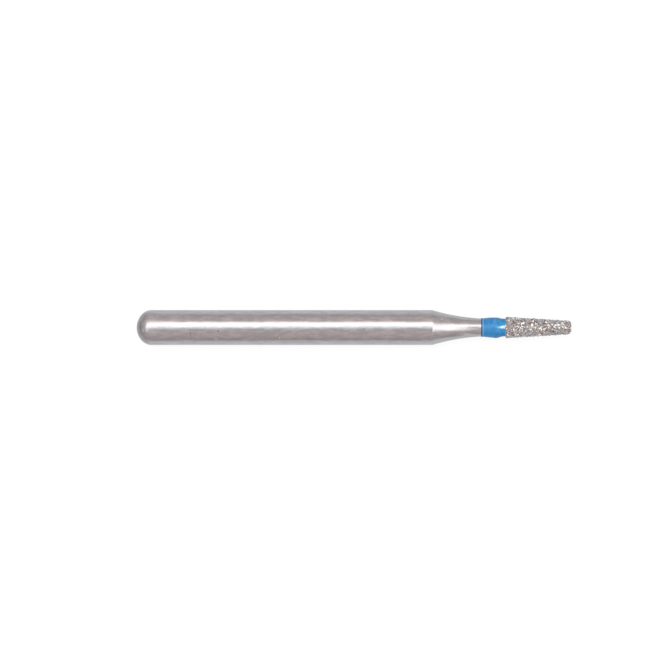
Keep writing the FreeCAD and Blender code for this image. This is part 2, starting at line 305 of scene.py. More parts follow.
def bond_outline():
    """The plated layer: back along the core from its end, and forward again on the outside."""
    points = CORE_TIP[::-1] + [(HEAD_START, NECK_RADIUS)]
    back = (HEAD_START + BOND_BACK_ROUND, BOND_BACK_RADIUS - BOND_BACK_ROUND)
    points += arc(back, BOND_BACK_ROUND, math.pi, math.pi / 2, BOND_BACK_STEPS)
    taper = math.atan(CORE_SLOPE)
    round_x = BOND_END - BOND_TIP_ROUND
    round_r = bond_radius_at(BOND_END) + CORE_SLOPE * BOND_TIP_ROUND
    round_r -= BOND_TIP_ROUND / math.cos(taper)
    flank_end = round_x + BOND_TIP_ROUND * math.sin(taper)
    points += [(x, bond_radius_at(x)) for x in steps(back[0], flank_end, BOND_STEP)]
    points += arc((round_x, round_r), BOND_TIP_ROUND, math.pi / 2 - taper, 0.0, BOND_TIP_STEPS)
    points += [(BOND_END, round_r * (1 - n / BOND_FACE_STEPS)) for n in range(BOND_FACE_STEPS)]
    return points + [(BOND_END, 0.0)]


def swell_bond(x, radius, angle):
    """Plating is slightly lumpy: it climbs up round the crystals."""
    if radius <= core_radius_at(x) + HAIR and x < CORE_END:
        return 0.0
    place = Vector((x, radius * math.cos(angle), radius * math.sin(angle)))
    lumps = LUMP_HEIGHT * noise.noise(place * LUMP_FINENESS)
    return lumps + PIMPLE_HEIGHT * noise.noise(place * PIMPLE_FINENESS)


# ---------------------------------------------------------------------- material helpers


class Wiring:
    """Places and joins the nodes of one tree."""

    def __init__(self, tree):
        self.tree = tree

    def join(self, socket, content):
        """Fills an input with a link from an output socket, or with a value of its own."""
        if isinstance(content, bpy.types.NodeSocket):
            self.tree.links.new(content, socket)
        else:
            socket.default_value = content

    def fill(self, node, **inputs):
        """Fills a node's inputs by name, with underscores for spaces."""
        for name, content in inputs.items():
            self.join(node.inputs[name.replace("_", " ")], content)

    def add(self, kind, _out=0, **settings):
        """Places a node and gives its output `_out`, or the node itself for None.

        A setting is a property of the node, or else one of its inputs: by name, with underscores
        for spaces, or by number after an underscore.
        """
        node = self.tree.nodes.new(kind)
        for name, content in settings.items():
            if hasattr(node, name):
                setattr(node, name, content)
            elif name[1:].isdigit():
                self.join(node.inputs[int(name[1:])], content)
            else:
                self.fill(node, **{name: content})
        return node if _out is None else node.outputs[_out]

    def place(self):
        """The place on the piece, in its own coordinates."""
        return self.add("ShaderNodeTexCoord", "Object")

    def split(self, vector):
        """The three parts of a vector, by the names X, Y and Z."""
        return self.add("ShaderNodeSeparateXYZ", None, Vector=vector).outputs

    def vector(self, operation, first, second):
        return self.add("ShaderNodeVectorMath", operation=operation, _0=first, _1=second)

    def length(self, vector):
        return self.add("ShaderNodeVectorMath", "Value", operation="LENGTH", _0=vector)

    def maths(self, operation, *values):
        numbered = {f"_{n}": value for n, value in enumerate(values)}
        return self.add("ShaderNodeMath", operation=operation, **numbered)

    def plus(self, first, second):
        return self.maths("ADD", first, second)

    def minus(self, first, second):
        return self.maths("SUBTRACT", first, second)

    def times(self, first, second):
        return self.maths("MULTIPLY", first, second)

    def larger(self, first, second):
        return self.maths("MAXIMUM", first, second)

    def range(self, value, low, high, to_low=0.0, to_high=1.0, kind="SMOOTHSTEP"):
        """Maps a value from one range to another, and holds it there."""
        return self.add(
            "ShaderNodeMapRange", interpolation_type=kind, Value=value,
            From_Min=low, From_Max=high, To_Min=to_low, To_Max=to_high,
        )

    def texture(self, place, scale, **look):
        """A noise texture, whose values lie about 0.5."""
        return self.add("ShaderNodeTexNoise", Vector=place, Scale=scale, **look)

    def mix(self, share, first, second):
        """Mixes two colours by a share."""
        return self.add("ShaderNodeMix", 2, data_type="RGBA", _0=share, _6=first, _7=second)

    def group(self, tree, out, **inputs):
        """Places a node group and gives the named output."""
        return self.add("ShaderNodeGroup", out, node_tree=tree, **inputs)


def colour(red, green, blue):
    return (red, green, blue, 1.0)


def new_group(name, inputs, outputs):
    """An empty shader node group, from its inputs as (name, default) and its outputs' names."""
    tree = bpy.data.node_groups.new(name, "ShaderNodeTree")
    for label, default in inputs:
        socket = tree.interface.new_socket(label, in_out="INPUT", socket_type="NodeSocketFloat")
        socket.default_value = default
    for label in outputs:
        tree.interface.new_socket(label, in_out="OUTPUT", socket_type="NodeSocketFloat")
    entry = tree.nodes.new("NodeGroupInput").outputs
    leave = tree.nodes.new("NodeGroupOutput")
    return tree, Wiring(tree), entry, leave


# Flecks are so many times finer than the patches they come with.
FLECK_FINENESS = 4.3
PATCH_NOISE = dict(Detail=2.0, Roughness=0.5)
FLECK_NOISE = dict(Detail=3.0, Roughness=0.65)


def make_mottle_group():
    """Soft patches and finer flecks at a given size, as values about 0.5, for uneven finishes."""
    tree, wire, entry, leave = new_group(
        "mottle", [("Patch size mm", 0.3), ("Stretch along", 1.0)], ["Patches", "Flecks"]
    )
    along = wire.maths("DIVIDE", PER_MM, entry["Stretch along"])
    stretch = wire.add("ShaderNodeCombineXYZ", X=along, Y=PER_MM, Z=PER_MM)
    in_mm = wire.vector("MULTIPLY", wire.place(), stretch)
    scale = wire.maths("DIVIDE", 1.0, entry["Patch size mm"])
    patches = wire.texture(in_mm, scale, **PATCH_NOISE)
    flecks = wire.texture(in_mm, wire.times(scale, FLECK_FINENESS), **FLECK_NOISE)
    wire.fill(leave, Patches=patches, Flecks=flecks)
    return tree


# Broken rings change across the axis too, at this scale, against PER_MM along it.
BREAKS_ACROSS = 60.0
WHOLE_RING_NOISE = dict(Detail=3.0, Roughness=0.7)
BROKEN_RING_NOISE = dict(Detail=2.0, Roughness=0.6)


def make_lathe_group():
    """Fine rings round the axis, as grinding and brushing leave them on a turning rod."""
    tree, wire, entry, leave = new_group(
        "lathe_rings", [("Ring width mm", 0.02), ("Broken up", 0.5)], ["Height"]
    )
    place = wire.place()
    along = wire.vector("MULTIPLY", place, (PER_MM, 0.0, 0.0))
    loose = wire.vector("MULTIPLY", place, (PER_MM, BREAKS_ACROSS, BREAKS_ACROSS))
    scale = wire.maths("DIVIDE", 1.0, entry["Ring width mm"])
    whole = wire.texture(along, scale, **WHOLE_RING_NOISE)
    broken = wire.texture(loose, scale, **BROKEN_RING_NOISE)
    height = wire.add("ShaderNodeMix", _0=entry["Broken up"], _2=whole, _3=broken)
    wire.fill(leave, Height=height)
    return tree


def new_material(name):
    """A material with its Principled shader. Gives the material, its wiring and the shader."""
    material = bpy.data.materials.new(name)
    material.use_nodes = True
    shader = material.node_tree.nodes["Principled BSDF"]
    return material, Wiring(material.node_tree), shader


def near_mark(wire, mark, full, reach):
    """1 on a mark of the bur's upper side, up to `full` of its size, and 0 beyond `reach`."""
    place = wire.place()
    away = wire.vector("SUBTRACT", place, (mark["x"] * MM, mark["y"] * MM, 0.0))
    size = (1 / (mark["along"] * MM), 1 / (mark["across"] * MM), 0.0)
    far = wire.length(wire.vector("MULTIPLY", away, size))
    upper = wire.maths("GREATER_THAN", wire.split(place)["Z"], 0.0)
    return wire.times(wire.range(far, reach, full), upper)


def strongest_mark(wire, marks):
    """The strongest of several marks at a place, for a list such as PAINTED_SHADES."""
    level = 0.0
    for mark, full, reach, strength in marks:
        level = wire.larger(level, wire.times(near_mark(wire, mark, full, reach), strength))
    return level


# ----------------------------------------------------------------------------- materials


# The values between which most of a noise lies.
NOISE_LOW, NOISE_HIGH = 0.35, 0.65

# Ground steel: its grey and its brighter patches, its dull flecks, painted shade at some marks,
# and scuffed places, some of which are painted light.
STEEL_GREY = colour(0.525, 0.502, 0.508)
STEEL_BRIGHT = colour(0.625, 0.585, 0.575)
STEEL_DULL, DULL_SHARE, DULL_FROM, DULL_TO = colour(0.46, 0.41, 0.405), 0.4, 0.54, 0.70
PAINTED_SHADE = colour(0.12, 0.09, 0.09)
SCUFF_AND_PAINTED_LIGHT, SCUFF_ROUGHNESS = colour(0.80, 0.77, 0.76), 0.35
STEEL_PATCHES = dict(Patch_size_mm=0.16, Stretch_along=3.2)
STEEL_FLECKS = dict(Patch_size_mm=0.30, Stretch_along=2.4)
GRINDING, GRINDING_STRENGTH = dict(Ring_width_mm=0.035, Broken_up=0.45), 0.10
GRINDING_DEPTH, UNEVEN_DEPTH = 0.02 * MM, 0.006 * MM
GRIP_UNEVEN, NECK_UNEVEN = 0.25, 0.42
# Its satin: how rough it is in its patches, and what is added towards the end and on the neck.
SATIN_FINE, SATIN_ROUGH, SATIN_FROM, SATIN_TO = 0.155, 0.225, 0.25, 0.75
END_SATIN, END_SATIN_FROM, END_SATIN_TO = 0.09, -5.4 * MM, -6.4 * MM
NECK_SATIN, NECK_FROM, NECK_TO = 0.02, GRIP_END * MM, (GRIP_END + 1.2) * MM

# A place on the neck's lower side below the highlight, which is painted light, a small lighter
# fleck on the neck's upper side, a dark crescent on the domed end, where its corner begins, which
# is painted shade, and a bright place beside it, which is painted light.
NECK_PAINTED_LIGHT = dict(x=8.02, y=-0.315, along=0.34, across=0.055)
NECK_FLECK = dict(x=6.83, y=0.385, along=0.06, across=0.03)
END_PAINTED_SHADE = dict(x=-6.906, y=0.045, along=0.042, across=0.32)
END_PAINTED_LIGHT = dict(x=-6.765, y=-0.137, along=0.05, across=0.08)
# What the marks do to the steel. A mark is full out to the first share of its reach, has ended
# at the second, and has a strength.
# Painted shade: the nick and the rubbed groove darkened, and the dark crescent on the domed end.
PAINTED_SHADES = [(NICK, 0.3, 1.4, 0.55), (RUB, 0.2, 1.4, 0.32), (END_PAINTED_SHADE, 0.3, 1.4, 0.32)]
# Scuffs at the two specks and a fleck on the neck; painted light on the domed end and on the neck.
SCUFFS_AND_PAINTED_LIGHT = [
    (SPECK, 0.4, 1.3, 1.0),
    (FAR_SPECK, 0.4, 1.3, 1.0),
    (END_PAINTED_LIGHT, 0.3, 1.4, 0.5),
    (NECK_PAINTED_LIGHT, 0.2, 1.4, 0.8),
    (NECK_FLECK, 0.3, 1.4, 0.8),
]


def ground_steel(mottle, lathe_rings):
    """Stainless steel, ground to a fine satin: slightly warm, with soft streaks along it."""
    material, wire, shader = new_material("ground_steel")
    patches = wire.group(mottle, "Patches", **STEEL_PATCHES)
    flecks = wire.group(mottle, "Flecks", **STEEL_FLECKS)
    tone = wire.mix(wire.range(patches, NOISE_LOW, NOISE_HIGH), STEEL_GREY, STEEL_BRIGHT)
    dull = wire.range(flecks, DULL_FROM, DULL_TO, 0.0, DULL_SHARE)
    tone = wire.mix(dull, tone, STEEL_DULL)
    # Painted shade at the nick, along the rubbed groove and in the crescent on the domed end.
    tone = wire.mix(strongest_mark(wire, PAINTED_SHADES), tone, PAINTED_SHADE)
    # Lighter at the scuffs and the fleck, and painted light at two places on the neck and domed
    # end.
    scuffed_and_painted_light = strongest_mark(wire, SCUFFS_AND_PAINTED_LIGHT)
    tone = wire.mix(scuffed_and_painted_light, tone, SCUFF_AND_PAINTED_LIGHT)
    height = wire.group(lathe_rings, "Height", **GRINDING)
    bump = wire.add(
        "ShaderNodeBump", Strength=GRINDING_STRENGTH, Distance=GRINDING_DEPTH, Height=height
    )
    along = wire.split(wire.place())["X"]
    uneven = wire.range(along, NECK_FROM, NECK_TO, GRIP_UNEVEN, NECK_UNEVEN)
    bump = wire.add(
        "ShaderNodeBump", Strength=uneven, Distance=UNEVEN_DEPTH, Height=flecks, Normal=bump
    )
    satin = wire.range(patches, SATIN_FROM, SATIN_TO, SATIN_FINE, SATIN_ROUGH)
    satin = wire.plus(satin, wire.range(along, END_SATIN_FROM, END_SATIN_TO, 0.0, END_SATIN))
    satin = wire.plus(satin, wire.range(along, NECK_FROM, NECK_TO, 0.0, NECK_SATIN))
    satin = wire.plus(satin, wire.times(scuffed_and_painted_light, SCUFF_ROUGHNESS))
    wire.fill(shader, Metallic=1.0, Base_Color=tone, Roughness=satin, Normal=bump)
    return material


# Blue lacquer: its deep and its lighter blue, and its lightest flecks.
LACQUER_DEEP = colour(0.022, 0.235, 0.58)
LACQUER_BLUE = colour(0.042, 0.32, 0.635)
LACQUER_LIGHT, LIGHT_SHARE, LIGHT_FROM, LIGHT_TO = colour(0.075, 0.34, 0.76), 0.6, 0.55, 0.75
LACQUER_PATCHES = dict(Patch_size_mm=0.30, Stretch_along=0.6)
LACQUER_FLECKS = dict(Patch_size_mm=0.26, Stretch_along=0.5)
BRUSHING, BRUSHING_STRENGTH = dict(Ring_width_mm=0.09, Broken_up=0.8), 0.12
BRUSHING_DEPTH = 0.03 * MM
LACQUER_ROUGHNESS, LACQUER_IOR = 0.25, 1.5
# Its dark back edge, which runs slightly uneven, and the pale rim beside it.
BACK_EDGE, BACK_EDGE_FROM, BACK_EDGE_TO = colour(0.028, 0.048, 0.12), 8.70, 8.67
EDGE_WAVE, EDGE_WAVE_FINENESS = 0.03, 2500.0
PALE_RIM, RIM_SHARE = colour(0.24, 0.40, 0.72), 0.75
RIM_RISE_FROM, RIM_RISE_TO, RIM_FALL_FROM, RIM_FALL_TO = 8.69, 8.71, 8.77, 8.73
# Its thin foot, whose pale, partly metallic patch on the upper side is a painted highlight: where
# it begins, how it widens, and how far the steel shines through.
FOOT_PAINTED_HIGHLIGHT, FOOT_METAL = colour(0.62, 0.82, 1.0), 0.55
FOOT_FROM, FOOT_FULL_AT, FOOT_SIDE = 9.24, 9.24 + 0.42, -0.015
FOOT_NARROW, FOOT_WIDE, FOOT_FULL, FOOT_REACH = 0.02, 0.09, 0.3, 1.3
FOOT_HEIGHT = 0.1 * MM

# Places where its colour differs, each with its strength and colour.
PALE_DAB = dict(x=9.258, y=0.297, along=0.07, across=0.09)
GREEN_DAB = dict(x=9.44, y=0.28, along=0.07, across=0.08)
LOWER_GREEN_DAB = dict(x=9.44, y=-0.15, along=0.08, across=0.07)
DARK_DOT = dict(x=9.19, y=0.43, along=0.03, across=0.03)
DAB_FULL, DAB_REACH = 0.3, 1.5
LACQUER_DABS = [
    (PALE_DAB, 0.6, colour(0.13, 0.36, 0.80)),
    (GREEN_DAB, 0.6, colour(0.03, 0.38, 0.62)),
    (LOWER_GREEN_DAB, 0.6, colour(0.03, 0.38, 0.62)),
    (DARK_DOT, 0.7, colour(0.01, 0.08, 0.40)),
]


def blue_lacquer(mottle, lathe_rings):
    """Glossy blue lacquer, brushed on while the bur turns: uneven in depth and at its edges."""
    material, wire, shader = new_material("blue_lacquer")
    place = wire.place()
    x_mm = wire.times(wire.split(place)["X"], PER_MM)
    patches = wire.group(mottle, "Patches", **LACQUER_PATCHES)
    flecks = wire.group(mottle, "Flecks", **LACQUER_FLECKS)
    tone = wire.mix(wire.range(patches, NOISE_LOW, NOISE_HIGH), LACQUER_DEEP, LACQUER_BLUE)
    light = wire.range(flecks, LIGHT_FROM, LIGHT_TO, 0.0, LIGHT_SHARE)
    tone = wire.mix(light, tone, LACQUER_LIGHT)
    for mark, strength, tint in LACQUER_DABS:
        dab = wire.times(near_mark(wire, mark, DAB_FULL, DAB_REACH), strength)
        tone = wire.mix(dab, tone, tint)
    rim = wire.times(
        wire.range(x_mm, RIM_RISE_FROM, RIM_RISE_TO), wire.range(x_mm, RIM_FALL_FROM, RIM_FALL_TO)
    )
    tone = wire.mix(wire.times(rim, RIM_SHARE), tone, PALE_RIM)
    wave = wire.minus(wire.texture(place, EDGE_WAVE_FINENESS, Detail=2.0), 0.5)
    edge_x = wire.plus(x_mm, wire.times(wave, EDGE_WAVE))
    tone = wire.mix(wire.range(edge_x, BACK_EDGE_FROM, BACK_EDGE_TO), tone, BACK_EDGE)
    # Painted highlight: a pale, partly metallic patch on the foot's upper side, where the glint
    # falls.
    thin = thin_foot_and_painted_highlight(wire, place, x_mm)
    tone = wire.mix(thin, tone, FOOT_PAINTED_HIGHLIGHT)
    height = wire.group(lathe_rings, "Height", **BRUSHING)
    bump = wire.add(
        "ShaderNodeBump", Strength=BRUSHING_STRENGTH, Distance=BRUSHING_DEPTH, Height=height
    )
    wire.fill(shader, Base_Color=tone, Metallic=wire.times(thin, FOOT_METAL), Normal=bump)
    wire.fill(shader, Roughness=LACQUER_ROUGHNESS, IOR=LACQUER_IOR)
    return material


def thin_foot_and_painted_highlight(wire, place, x_mm):
    """1 where the lacquer ran thin on the upper side before the head, so that the steel shines
    through it.
    Its pale tone there is a painted highlight.
    """
    side = wire.split(place)
    across = wire.maths("ABSOLUTE", wire.plus(wire.times(side["Y"], PER_MM), FOOT_SIDE))
    width = wire.range(x_mm, FOOT_FROM, RING_END, FOOT_NARROW, FOOT_WIDE, "LINEAR")
    spread = wire.range(wire.maths("DIVIDE", across, width), FOOT_REACH, FOOT_FULL)
    length = wire.range(x_mm, FOOT_FROM, FOOT_FULL_AT)
    upper = wire.range(side["Z"], 0.0, FOOT_HEIGHT)
    return wire.times(wire.times(spread, length), upper)


# Plated nickel: its two greys, a brown in random flecks, and a painted cool reflection where it
# is seen edgewise.
NICKEL_GREY = colour(0.21, 0.18, 0.18)
NICKEL_LIGHT = colour(0.42, 0.39, 0.40)
NICKEL_BROWN, BROWN_SHARE, BROWN_FROM, BROWN_TO = colour(0.13, 0.10, 0.10), 0.5, 0.55, 0.7
NICKEL_PAINTED_REFLECTION, NICKEL_REFLECTION_SHARE = colour(0.28, 0.30, 0.36), 0.7
NICKEL_EDGE_FROM, NICKEL_EDGE_TO = 0.5, 0.9
NICKEL_PATCHES = dict(Patch_size_mm=0.12, Stretch_along=1.0)
NICKEL_FLECKS = dict(Patch_size_mm=0.08, Stretch_along=1.0)
NICKEL_BUMP, NICKEL_DEPTH = 0.3, 0.008 * MM
NICKEL_FINE, NICKEL_ROUGH, NICKEL_FROM, NICKEL_TO = 0.28, 0.45, 0.3, 0.7


def plated_nickel(mottle):
    """Dull nickel plating between the crystals, brown in random flecks, painted reflection
    edgewise.
    """
    material, wire, shader = new_material("plated_nickel")
    patches = wire.group(mottle, "Patches", **NICKEL_PATCHES)
    flecks = wire.group(mottle, "Flecks", **NICKEL_FLECKS)
    tone = wire.mix(wire.range(patches, NOISE_LOW, NOISE_HIGH), NICKEL_GREY, NICKEL_LIGHT)
    brown = wire.range(flecks, BROWN_FROM, BROWN_TO, 0.0, BROWN_SHARE)
    tone = wire.mix(brown, tone, NICKEL_BROWN)
    facing = wire.add("ShaderNodeLayerWeight", "Facing")
    # Painted reflection: a cool tone where the nickel is seen edgewise.
    edgewise = wire.range(facing, NICKEL_EDGE_FROM, NICKEL_EDGE_TO, 0.0, NICKEL_REFLECTION_SHARE)
    tone = wire.mix(edgewise, tone, NICKEL_PAINTED_REFLECTION)
    bump = wire.add("ShaderNodeBump", Strength=NICKEL_BUMP, Distance=NICKEL_DEPTH, Height=flecks)
    satin = wire.range(patches, NICKEL_FROM, NICKEL_TO, NICKEL_FINE, NICKEL_ROUGH)
    wire.fill(shader, Metallic=1.0, Base_Color=tone, Roughness=satin, Normal=bump)
    return material


# Diamond: pale and grey crystals, a few dark ones, a straw tint of its own for some, and a painted
# cool reflection on a facet that is seen edgewise.
DIAMOND_PALE = colour(0.77, 0.73, 0.68)
DIAMOND_GREY, GREY_FROM, GREY_TO = colour(0.62, 0.60, 0.59), 0.10, 0.70
DIAMOND_DARK, DARK_FROM, DARK_TO = colour(0.29, 0.25, 0.25), 0.76, 0.95
DIAMOND_STRAW, STRAW_SHARE, STRAW_FROM, STRAW_TO = colour(0.68, 0.54, 0.42), 0.45, 0.50, 0.90
STRAW_SPREAD = 7.3
DIAMOND_PAINTED_REFLECTION, FACET_REFLECTION_SHARE = colour(0.50, 0.55, 0.66), 0.85
FACET_EDGE_FROM, FACET_EDGE_TO = 0.25, 0.80
DIAMOND_IOR, DIAMOND_METAL, DIAMOND_ROUGHNESS = 2.42, 0.9, 0.22


def diamond_grit():
    """Crushed diamond, filmed over with nickel: hard facets, each crystal in its own tint."""
    material, wire, shader = new_material("diamond_grit")
    tint = wire.add("ShaderNodeAttribute", "Fac", attribute_name="tint")
    tone = wire.mix(wire.range(tint, GREY_FROM, GREY_TO), DIAMOND_PALE, DIAMOND_GREY)
    tone = wire.mix(wire.range(tint, DARK_FROM, DARK_TO), tone, DIAMOND_DARK)
    other_draw = wire.maths("FRACT", wire.times(tint, STRAW_SPREAD))
    straw = wire.range(other_draw, STRAW_FROM, STRAW_TO, 0.0, STRAW_SHARE)
    tone = wire.mix(straw, tone, DIAMOND_STRAW)
    # Painted reflection: a cool tone where a facet is seen edgewise.
    facing = wire.add("ShaderNodeLayerWeight", "Facing")
    edgewise = wire.range(facing, FACET_EDGE_FROM, FACET_EDGE_TO, 0.0, FACET_REFLECTION_SHARE)
    tone = wire.mix(edgewise, tone, DIAMOND_PAINTED_REFLECTION)
    wire.fill(shader, Base_Color=tone, IOR=DIAMOND_IOR)
    wire.fill(shader, Metallic=DIAMOND_METAL, Roughness=DIAMOND_ROUGHNESS)
    return material


# ---------------------------------------------------------------------- diamond crystals


# Sizes and least spacings of the crystals and of the splinters between them, and how far a
# corner may be chipped or drawn out, as a share of a crystal.
COAT_SIZES = [
    ("Crystal size", 0.080 * MM),
    ("Crystal spacing", 0.086 * MM),
    ("Splinter size", 0.048 * MM),
    ("Splinter spacing", 0.052 * MM),
    ("Chipping", 0.22),
]
CRYSTAL_SEED, SPLINTER_SEED, CHIP_SEED = 4, 9, 2
# How far a crystal leans from flat on the skin, in radians, how far its middle stands out of
# it, as a share of a crystal, and the least and most that it is stretched.
CRYSTAL_LEAN = 0.40
CRYSTAL_LIFT = 0.02
LEAST_STRETCH, MOST_STRETCH = (0.7, 0.7, 0.7), (1.3, 1.3, 1.1)
# More tries than can be kept, so that only the spacing thins them out.
TRIES_PER_SQUARE_METRE = 1.0e9


def crystal_layer(tree, surface, size, spacing, seed, lift):
    """Scatters one layer of crystals, each turned and stretched its own way. Gives its output."""
    wire = Wiring(tree)
    random_value = "FunctionNodeRandomValue"
    scatter = wire.add(
        "GeometryNodeDistributePointsOnFaces", None, distribute_method="POISSON",
        Mesh=surface, Distance_Min=spacing, Seed=seed,
    )
    wire.fill(scatter, Density_Max=TRIES_PER_SQUARE_METRE, Density_Factor=1.0)
    points = scatter.outputs
    raised = wire.add("ShaderNodeVectorMath", operation="SCALE", _0=points["Normal"], Scale=lift)
    seated = wire.add("GeometryNodeSetPosition", Geometry=points["Points"], Offset=raised)
    crystal = wire.add("GeometryNodeMeshCube", Size=(1.0, 1.0, 1.0))
    lean = wire.add(
        random_value, data_type="FLOAT_VECTOR", Seed=seed,
        _0=(-CRYSTAL_LEAN, -CRYSTAL_LEAN, 0.0), _1=(CRYSTAL_LEAN, CRYSTAL_LEAN, 2 * math.pi),
    )
    turned = wire.add(
        "FunctionNodeRotateRotation", rotation_space="LOCAL",
        _0=points["Rotation"], _1=wire.add("FunctionNodeEulerToRotation", Euler=lean),
    )
    stretch = wire.add(
        random_value, data_type="FLOAT_VECTOR", Seed=seed, _0=LEAST_STRETCH, _1=MOST_STRETCH
    )
    sized = wire.add("ShaderNodeVectorMath", operation="SCALE", _0=stretch, Scale=size)
    placed = wire.add(
        "GeometryNodeInstanceOnPoints",
        Points=seated, Instance=crystal, Scale=sized, Rotation=turned,
    )
    draw = wire.add(random_value, 1, data_type="FLOAT", Seed=seed)
    return wire.add(
        "GeometryNodeStoreNamedAttribute",
        domain="INSTANCE", Geometry=placed, Name="tint", Value=draw,
    )


def make_coat_tree(material):
    """The coat on a surface: full-size crystals, and splinters between them."""
    tree = bpy.data.node_groups.new("diamond_coat", "GeometryNodeTree")
    geometry, number = "NodeSocketGeometry", "NodeSocketFloat"
    tree.interface.new_socket("Surface", in_out="INPUT", socket_type=geometry)
    for label, default in COAT_SIZES:
        socket = tree.interface.new_socket(label, in_out="INPUT", socket_type=number)
        socket.default_value = default
    tree.interface.new_socket("Coat", in_out="OUTPUT", socket_type=geometry)
    entry = tree.nodes.new("NodeGroupInput").outputs
    leave = tree.nodes.new("NodeGroupOutput")
    wire = Wiring(tree)
    lift = wire.times(entry["Crystal size"], CRYSTAL_LIFT)
    both = wire.add("GeometryNodeJoinGeometry", None)
    for kind, seed in (("Crystal", CRYSTAL_SEED), ("Splinter", SPLINTER_SEED)):
        size, spacing = entry[kind + " size"], entry[kind + " spacing"]
        layer = crystal_layer(tree, entry["Surface"], size, spacing, seed, lift)
        tree.links.new(layer, both.inputs[0])
    solid = wire.add("GeometryNodeRealizeInstances", Geometry=both.outputs[0])
    reach = wire.times(entry["Crystal size"], entry["Chipping"])
    back = wire.times(reach, -1.0)
    chip = wire.add(
        "FunctionNodeRandomValue", data_type="FLOAT_VECTOR", Seed=CHIP_SEED,
        _0=wire.add("ShaderNodeCombineXYZ", X=back, Y=back, Z=back),
        _1=wire.add("ShaderNodeCombineXYZ", X=reach, Y=reach, Z=reach),
    )
    chipped = wire.add("GeometryNodeSetPosition", Geometry=solid, Offset=chip)
    flat = wire.add("GeometryNodeSetShadeSmooth", Geometry=chipped, Shade_Smooth=False)
    dressed = wire.add("GeometryNodeSetMaterial", Geometry=flat, Material=material)
    wire.fill(leave, Coat=dressed)
    return tree


def make_skin():
    """The skin that carries the crystals: the plated layer's outside and its end face."""
    outline = [point for point in bond_outline() if point[1] > HAIR]
    widest = max(range(len(outline)), key=lambda n: outline[n][1])
    rings = outline[widest:]
    vertices = turned_points(rings, SKIN_AROUND) + [(BOND_END, 0.0, 0.0)]
    faces = faces_between(len(rings), SKIN_AROUND)
    pole, end = len(vertices) - 1, (len(rings) - 1) * SKIN_AROUND
    faces += [(pole, end + j, end + (j + 1) % SKIN_AROUND) for j in range(SKIN_AROUND)]
    return new_piece("coat_carrier", vertices, faces)


def make_coat(material):
    """The crystals as one plain mesh, trimmed to the bur's length, as the maker dresses them."""
    skin = make_skin()
    modifier = skin.modifiers.new("diamond_coat", "NODES")
    modifier.node_group = make_coat_tree(material)
    evaluated = skin.evaluated_get(bpy.context.evaluated_depsgraph_get())
    mesh = bpy.data.meshes.new_from_object(evaluated)
    mesh.name = "diamond_coat"
    skin.modifiers.remove(modifier)
    bpy.data.objects.remove(skin)
    bur_end = cad_box[1][0]
    for vertex in mesh.vertices:
        vertex.co.x = min(vertex.co.x, bur_end)
    mesh.update()
    coat = bpy.data.objects.new("diamond_coat", mesh)
    bpy.context.scene.collection.objects.link(coat)
    return coat


# ---------------------------------------------------------------------------- the studio


# The table: its reach and its gap under the shank in millimetres, its grey, and its own light,
# which falls off with the distance from the bur in metres.
TABLE_REACH, TABLE_GAP = 900.0, 0.002
TABLE_GREY = colour(0.22, 0.22, 0.22)
GLOW_NEAR, GLOW_FAR, GLOW_FROM, GLOW_TO = 0.84, 0.34, 0.05, 0.6
# What the bur mirrors of that light: its tint, and its share beside the bur and further away.
# Past the two ends it falls off faster, and is less from the start.
TABLE_WHITE, MIRRORED_TINT = colour(1.0, 1.0, 1.0), colour(0.98, 1.02, 1.09)
MIRRORED_NEAR, MIRRORED_FAR, MIRRORED_FROM, MIRRORED_TO = 0.66, 0.42, 0.001, 0.014
PAST_ENDS_FASTER, PAST_ENDS_SHARE, PAST_ENDS_TO = 5.0, 0.74, 0.001


def make_floor():
    """A white table that runs out into the grey of the room.

    Its own light shows it white to the camera and, dimmer, in the bur. It lights nothing else,
    so the shadow stays.
    """
    reach, level = TABLE_REACH, -SHANK_RADIUS - TABLE_GAP
    corners = [(-reach, -reach), (reach, -reach), (reach, reach), (-reach, reach)]
    vertices = [(x, y, level) for x, y in corners]
    floor = new_piece("floor", vertices, [(0, 1, 2, 3)], smooth=False)
    material, wire, shader = new_material("white_table")
    path = wire.add("ShaderNodeLightPath", None).outputs
    place = wire.place()
    side = wire.split(place)
    middle, half_length = (BOND_END + BACK_END) / 2 * MM, (BOND_END - BACK_END) / 2 * MM
    past_end = wire.minus(wire.maths("ABSOLUTE", wire.minus(side["X"], middle)), half_length)
    past_end = wire.times(wire.larger(past_end, 0.0), PAST_ENDS_FASTER)
    away = wire.length(wire.add("ShaderNodeCombineXYZ", X=past_end, Y=side["Y"]))
    share = wire.range(away, MIRRORED_FROM, MIRRORED_TO, MIRRORED_NEAR, MIRRORED_FAR)
    share = wire.times(share, wire.range(past_end, 0.0, PAST_ENDS_TO, 1.0, PAST_ENDS_SHARE))
    mirrored = wire.times(path["Is Glossy Ray"], share)
    seen = wire.larger(path["Is Camera Ray"], mirrored)
    glow = wire.range(wire.length(place), GLOW_FROM, GLOW_TO, GLOW_NEAR, GLOW_FAR)
    tone = wire.mix(path["Is Glossy Ray"], TABLE_WHITE, MIRRORED_TINT)
    wire.fill(shader, Base_Color=TABLE_GREY, Roughness=1.0, Specular_IOR_Level=0.0)
    wire.fill(shader, Emission_Color=tone, Emission_Strength=wire.times(seen, glow))
    floor.data.materials.append(material)


# The light panel over the table. Places on it are given as the tangent of their lean from
# straight up, as seen from the bur.
PANEL_HEIGHT = 0.35
PANEL_LEFT, PANEL_RIGHT = -1.06, 0.95
PANEL_NEAR, PANEL_FAR = -0.86, 1.06
PANEL_RADIANCE = 1.5
